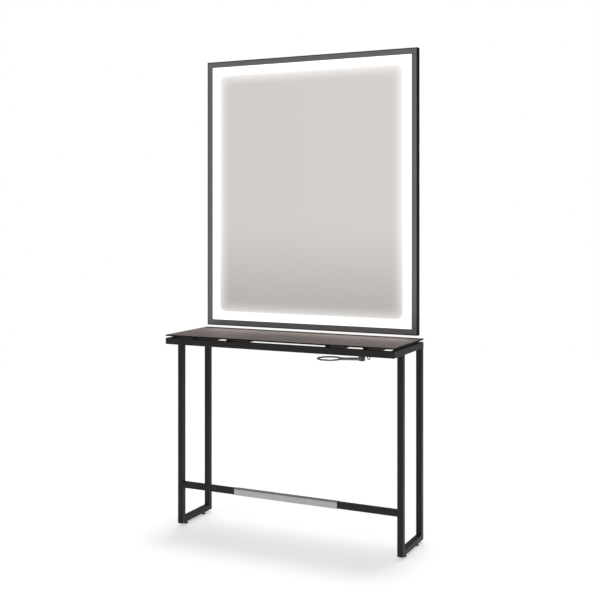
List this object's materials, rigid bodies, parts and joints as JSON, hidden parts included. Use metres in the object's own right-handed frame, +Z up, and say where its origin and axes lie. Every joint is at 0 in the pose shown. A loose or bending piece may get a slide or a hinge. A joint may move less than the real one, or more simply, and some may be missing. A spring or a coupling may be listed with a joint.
{
  "type": "salon styling station",
  "caption": "Wall styling station: slim black steel console with a lifted worktop, footrest bar and swivelling dryer holder, under a large mirror with a lit border.",
  "frame": {"origin": "on the floor, at the wall, at the middle of the width: the point where the floor plane, the wall plane and the plane of symmetry of the console meet", "axes": "+X to the client's right when facing the mirror, +Y into the wall (the console and mirror are on the -Y side), +Z up"},
  "size_m": [1.05, 0.4283, 2.0705],
  "materials": {
    "black_powder_coat": "satin fine-texture powder coat",
    "compact_laminate": "satin, faint linen grain",
    "brushed_stainless": "brushed along its length",
    "bright_chrome": "polished",
    "zinc_steel": "zinc plated",
    "black_nylon": "matte",
    "dark_anodised_frame": "satin dark coat",
    "silvered_glass": "silvered float glass with a sandblasted lit border",
    "opal_acrylic": "opal, light spreading",
    "light_strip": "light emitting strip",
    "galvanised_panel": "galvanised sheet",
    "mill_aluminium": "mill",
    "black_rubber": "matte",
    "white_plastic": "matte"
  },
  "bodies": {
    "station": {"top_front_rail": "black_powder_coat", "top_rear_rail": "black_powder_coat", "top_left_rail": "black_powder_coat", "top_right_rail": "black_powder_coat", "worktop_bearer_outer_left": "black_powder_coat", "worktop_bearer_inner_left": "black_powder_coat", "worktop_bearer_inner_right": "black_powder_coat", "worktop_bearer_outer_right": "black_powder_coat", "leg_front_left": "black_powder_coat", "leg_front_right": "black_powder_coat", "leg_rear_left": "black_powder_coat", "leg_rear_right": "black_powder_coat", "floor_rail_left": "black_powder_coat", "floor_rail_right": "black_powder_coat", "footrest_bar": "black_powder_coat", "worktop": "compact_laminate", "footrest_cover": "brushed_stainless", "holder_boss": "bright_chrome", "cable_hook": "bright_chrome", "worktop_screws": "zinc_steel", "worktop_inserts": "zinc_steel", "wall_fixing_bushes": "zinc_steel", "footrest_cover_screws": "zinc_steel", "glide_inserts": "zinc_steel", "holder_pivot_screw": "zinc_steel", "holder_rivet_nut": "zinc_steel", "mirror_corner_keys": "zinc_steel", "bearer_end_plugs": "black_nylon", "holder_friction_washer": "black_nylon", "mirror_frame_top": "dark_anodised_frame", "mirror_frame_bottom": "dark_anodised_frame", "mirror_frame_left": "dark_anodised_frame", "mirror_frame_right": "dark_anodised_frame", "mirror_glass": "silvered_glass", "mirror_diffuser": "opal_acrylic", "led_strips": "light_strip", "mirror_back_panel": "galvanised_panel", "mirror_wall_rail": "mill_aluminium", "mirror_hanging_rail": "mill_aluminium", "hanging_rail_rivets": "mill_aluminium", "cable_grommet": "black_rubber", "wall_bumpers": "black_rubber", "led_driver": "white_plastic"},
    "dryer_holder": {"holder_hub": "bright_chrome", "holder_arm": "bright_chrome", "holder_ring": "bright_chrome"},
    "glide_front_left": {"glide_pad_front_left": "black_nylon", "glide_stud_front_left": "zinc_steel"},
    "glide_front_right": {"glide_pad_front_right": "black_nylon", "glide_stud_front_right": "zinc_steel"},
    "glide_rear_left": {"glide_pad_rear_left": "black_nylon", "glide_stud_rear_left": "zinc_steel"},
    "glide_rear_right": {"glide_pad_rear_right": "black_nylon", "glide_stud_rear_right": "zinc_steel"}
  },
  "joints": [
    {"name": "holder_swivel", "type": "hinge", "parent": "station", "child": "dryer_holder", "pos_m": [0.384, -0.3375, 0.801], "axis": [0, 0, 1], "range_deg": [-135, 135]},
    {"name": "glide_front_left_screw", "type": "slide", "parent": "station", "child": "glide_front_left", "axis": [0, 0, -1], "range_m": [0, 0.01]},
    {"name": "glide_front_right_screw", "type": "slide", "parent": "station", "child": "glide_front_right", "axis": [0, 0, -1], "range_m": [0, 0.01]},
    {"name": "glide_rear_left_screw", "type": "slide", "parent": "station", "child": "glide_rear_left", "axis": [0, 0, -1], "range_m": [0, 0.01]},
    {"name": "glide_rear_right_screw", "type": "slide", "parent": "station", "child": "glide_rear_right", "axis": [0, 0, -1], "range_m": [0, 0.01]}
  ]
}
